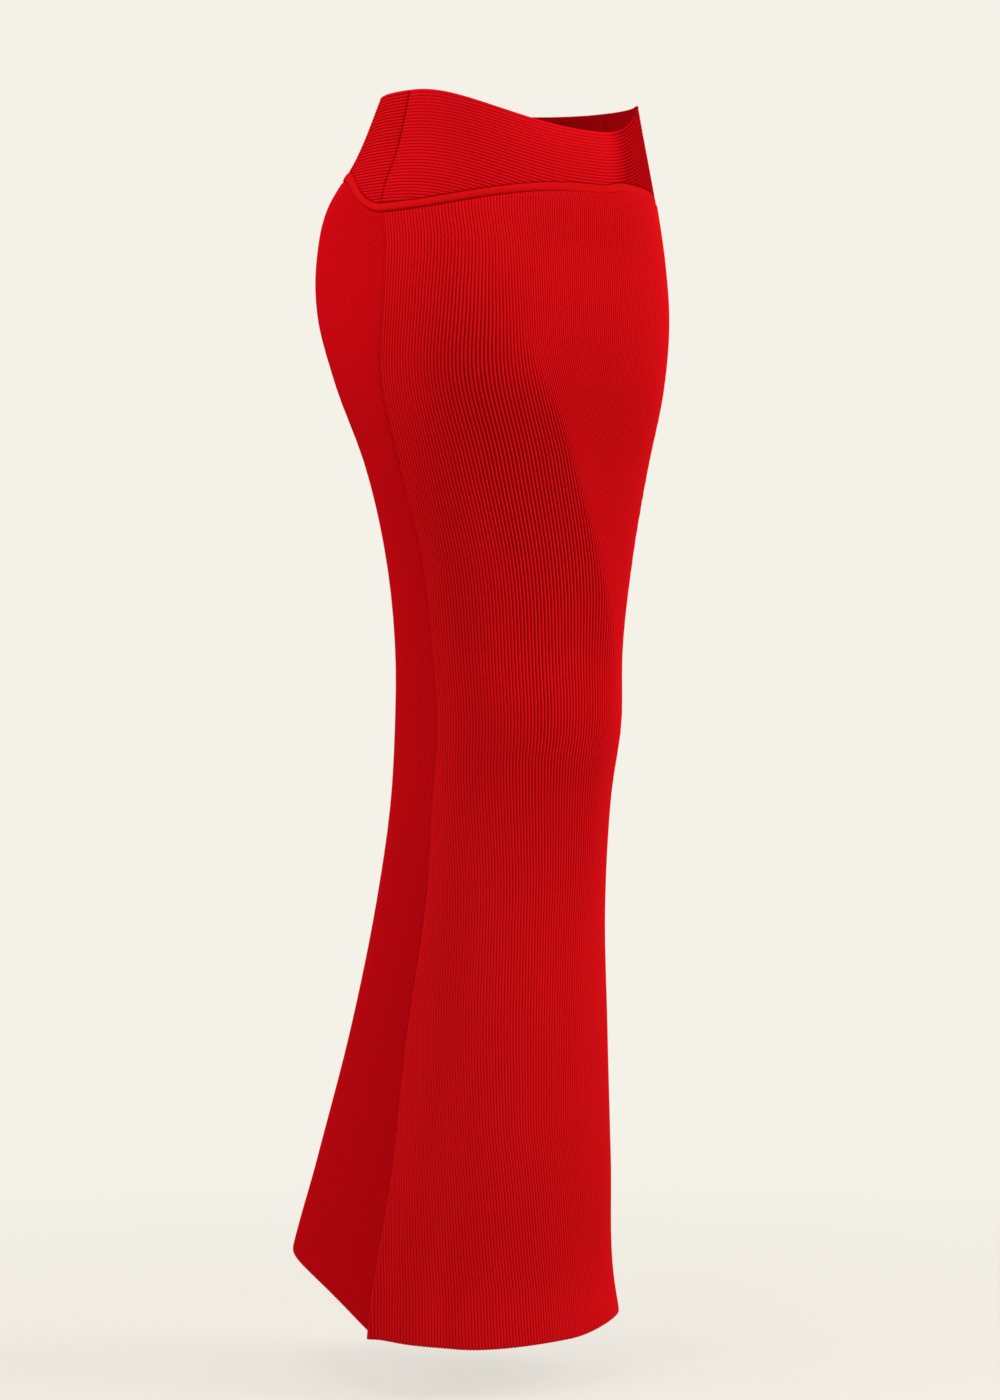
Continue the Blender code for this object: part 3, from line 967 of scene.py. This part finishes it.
# %% Panels
WALL = 1.5 * MM
INSIDE_STEP = 16                   # outer columns to each column of the plain inside
STITCH = 1.3 * MM
SCALLOP = 0.5 * MM
RIB_RISE = 0.38                    # of a rib's pitch
CLOSED_PITCH = 1.9 * MM            # at this pitch and less the valleys get no painted shade
OPENED_PITCH = 3.4 * MM
BOLDEST_RISE = 1.5


def valley_shade(profile, pitch, bold):
    """Ridge values of the ribs: painted valley shade is darker where the ribs are wide apart and
    bold.
    """
    painted_shade_weight = np.clip((pitch - CLOSED_PITCH) / (OPENED_PITCH - CLOSED_PITCH), 0, 1)
    return 1 - (1 - profile ** np.maximum(bold, 1)) * painted_shade_weight * np.minimum(bold, 1)


def add_panel(side):
    """One skirt panel of real ribs over a plain inside."""
    coordinate, profile = rib_columns(*PANEL_RIBS[side])
    part = panel_rows(PANEL_ROWS[side])[:, None]

    def height_at(angle, x):
        top = band_bottom(side, angle, x) - PANEL_DROP
        return top + (hem_edge(side, angle, x) - top) * part

    laid = lay(side, walk_to(side, coordinate[None, :]), height_at)
    at_seam = smooth_step(from_seams(laid) / SEAM_REACH[side])
    at_top = smooth_step(part * PANEL_LENGTH / END_REACH)
    at_top = at_top + (1 - at_top) * trim_merges(side, laid["angle"])
    at_hem = smooth_step((1 - part) * PANEL_LENGTH / END_REACH)
    pitch, bold, sewn = rib_pitch(side, laid), rib_boldness(side, laid), sewn_edge(side, laid)
    rise = RIB_RISE * pitch * np.clip(bold, 0, BOLDEST_RISE)
    relief = profile[None, :] * at_seam * near_end(at_top)
    outside = relief * rise + folds_at(side, laid) - SEAM_DIP * sewn * (1 - at_seam)
    outside = outside - END_DIP * (1 - at_top) - END_DIP * (1 - at_hem)
    laid["z"] = laid["z"] - (1 - at_hem) * at_seam * SCALLOP * (profile[None, :] - 0.5)
    outer = lifted(laid, outside)
    rim = lifted(laid, outside - rise * relief - WALL)
    rib = np.stack(np.broadcast_arrays(coordinate[None, :], laid["z"] / STITCH), axis=-1)
    ridge = valley_shade(profile[None, :] * near_end(at_top), pitch, bold)
    # painted shade along the front's sunken seam
    ridge = ridge * (1 - sewn * (1 - at_seam))
    return cloth_shell(
        "skirt_" + SIDE_NAMES[side] + "_knit", side, outer, rim, rib, ridge, INSIDE_STEP)


dress(add_panel(FRONT), "skirt_front", PANEL_KNIT)
dress(add_panel(BACK), "skirt_back", BACK_KNIT)

# %% [markdown]
# ## Waistband
#
# The waistband is the same rib turned on its side, and its top edge is a small plain roll. Its ribs
# could follow the trim, but on the real one they follow the top edge, and the trim cuts the lower
# ones off as it rises towards the front.

# %% Waistband rows and columns
BAND_PITCH = 2.65 * MM
BAND_RIBS = 37
BAND_COLUMNS = 190
BAND_LENGTH = 0.38                 # nominal, from seam to seam
BAND_EDGE_STEPS = np.array([0.0, 0.35, 0.7, 1.1]) * MM    # extra columns at the seams
ROLL_HEIGHT = 3.2 * MM
ROLL_DROPS = np.array([0.0, 0.12, 0.4, 0.75])    # shares of the roll's height
ROLL_RISES = np.array([0.1, 0.75, 1.0, 0.75])
ROLL_COORDINATE = -2               # the roll's rib coordinate, apart from those of the ribs


def band_rows():
    """Drop from the top edge, rib coordinate and relative height of each row of points."""
    coordinate, profile = rib_columns(0, BAND_RIBS)
    drops = np.concatenate([ROLL_DROPS * ROLL_HEIGHT, ROLL_HEIGHT + coordinate * BAND_PITCH])
    coordinate = np.concatenate([ROLL_DROPS + ROLL_COORDINATE, coordinate])
    return drops[:, None], coordinate[:, None], np.concatenate([ROLL_RISES, profile])[:, None]


def crowded_shares(count):
    """Shares of the way from seam to seam, with a few close to each seam."""
    ends = BAND_EDGE_STEPS / BAND_LENGTH
    return np.concatenate([ends, np.linspace(0.0, 1.0, count)[1:-1], 1 - ends[::-1]])


print("rows of the waistband:", len(band_rows()[0]))

# %% Waistband
BAND_INSIDE_STEP = 6
BAND_RIB_RISE = {FRONT: 0.7 * MM, BACK: 1.0 * MM}
BAND_SEAM_REACH = 1.0 * MM
BAND_SEAM_DIP = 1.1 * MM
BAND_TRIM_REACH = 0.6 * MM
BAND_SHADE_FROM = 8 * MM                 # left of centre front, where the painted shade on the ribs begins
BAND_SHADE_WIDTH = 32 * MM
BAND_SHADE_BOLDNESS = 1.3                # how much darker their valleys are painted, as shade
BAND_SHADE_SHARE = 0.5                   # share of the colour that they lose as a whole, as painted shade
TOP_CLOSED = 0.5                   # share of the painted valley shade that the upper ribs have lost


def add_waistband(side):
    """Half of the waistband: a rolled edge, then ribs down to the trim."""
    drops, coordinate, profile = band_rows()
    share = crowded_shares(BAND_COLUMNS)

    def height_at(angle, x):
        top, bottom = top_edge(side, angle, x), band_bottom(side, angle, x)
        return np.maximum(top - drops, bottom)

    laid = lay(side, lambda height, length: share * length, height_at)
    room = laid["z"] - band_bottom(side, laid["angle"], laid["x"])
    at_seam = smooth_step(from_seams(laid) / BAND_SEAM_REACH)
    at_trim = smooth_step(room / BAND_TRIM_REACH)
    ridge = profile * at_trim * near_end(at_seam)
    rise = BAND_RIB_RISE[side] * ridge
    outside = rise - BAND_SEAM_DIP * (1 - at_seam) - END_DIP * (1 - at_trim)
    outer = lifted(laid, outside)
    rim = lifted(laid, outside - rise - WALL)
    # painted shade: the front's ribs left of centre are darkened, and the upper ribs keep less
    # valley shade
    if side == FRONT:
        painted_shade_weight = smooth_step((laid["x"] - BAND_SHADE_FROM) / BAND_SHADE_WIDTH)
        lowered = np.clip(drops / (drops + room + WALL), 0, 1)
        closed = TOP_CLOSED * (1 - lowered) * (1 - painted_shade_weight) * at_seam * at_trim
        ridge = 1 - (1 - ridge ** (1 + BAND_SHADE_BOLDNESS * painted_shade_weight)) * (1 - closed)
        ridge = ridge * (1 - BAND_SHADE_SHARE * painted_shade_weight)
    rib = np.stack(np.broadcast_arrays(coordinate, laid["walk"] / STITCH), axis=-1)
    return cloth_shell(
        "waistband_" + SIDE_NAMES[side] + "_knit", side, outer, rim, rib, ridge, BAND_INSIDE_STEP)


for side, half in SIDE_NAMES.items():
    dress(add_waistband(side), "waistband_" + half, BAND_KNIT)

# %% [markdown]
# ## Trim
#
# Where waistband and skirt meet, the knit is rolled into a narrow cord-like trim that stands
# proud. A bevelled curve could be swept along the edge, but a grid with a round profile also takes
# the small knots of its seam, and the front's left, where the roll is pulled flat and runs into
# the panel's ribs.

# %% Trim
TRIM_PROUD = 2.1 * MM
TRIM_POWER = 0.7                   # a lower power makes a squarer roll
MERGED_PROUD = 1.0 * MM            # where the trim runs into the panel, it is level with its ribs
MERGED_START = 2.5                 # how steeply the flat trim rises from its upper edge
MERGED_FALL = 0.5                  # share of its height that it loses towards the panel
TRIM_COLUMNS = 840
TRIM_STEPS = 12
KNOT_SPACING = 2.4 * MM
ROLL_KNOTS = 0.04                  # the knots' share of the roll's height
MERGED_KNOTS = 0.25
TRIM_RIDGE = 0.55                  # ridge value at the edges, a little painted shade
TRIM_CREST_HIGHLIGHT = 0.35                  # added on the crest, a painted highlight


def add_trim(side):
    """Half of the trim: a rolled strip along the waistband's lower edge."""
    around = np.linspace(0.0, math.pi, TRIM_STEPS)[:, None]
    drop = TRIM_HEIGHT / 2 * (1 - np.cos(around))
    roll = TRIM_PROUD * np.sin(around) ** TRIM_POWER - END_DIP
    merged_roll = (MERGED_PROUD * np.minimum(1.0, MERGED_START * np.sin(around / 2))
                   * (1 - MERGED_FALL * around / math.pi))
    share = np.linspace(0.0, 1.0, TRIM_COLUMNS)

    def height_at(angle, x):
        return band_bottom(side, angle, x) - SEAM_GAP - drop

    laid = lay(side, lambda height, length: share * length, height_at)
    knots = 0.5 + 0.5 * np.cos(laid["walk"] / KNOT_SPACING * 2 * math.pi)
    merged = trim_merges(side, laid["angle"])
    outside = roll * (1 - merged) * (1 - ROLL_KNOTS + ROLL_KNOTS * knots)
    outside = outside + merged_roll * merged * (1 - MERGED_KNOTS + MERGED_KNOTS * knots)
    ridge = np.broadcast_to(TRIM_RIDGE + TRIM_CREST_HIGHLIGHT * np.sin(around), outside.shape)
    rib = np.stack(
        np.broadcast_arrays(0.5 + drop / TRIM_HEIGHT, laid["walk"] / STITCH), axis=-1)
    return cloth_shell(
        "trim_" + SIDE_NAMES[side] + "_roll", side, lifted(laid, outside), lifted(laid, -WALL),
        rib, ridge, BAND_INSIDE_STEP)


for side, half in SIDE_NAMES.items():
    dress(add_trim(side), "trim_" + half, ROLL_KNIT)

# %% [markdown]
# ## What each piece was cut to
#
# Worn knit is stretched, so each flat cut is a little narrower than what shows. Only the flared
# hem hangs free, and is as wide flat as worn.

# %% End of the pieces
print("all pieces built")
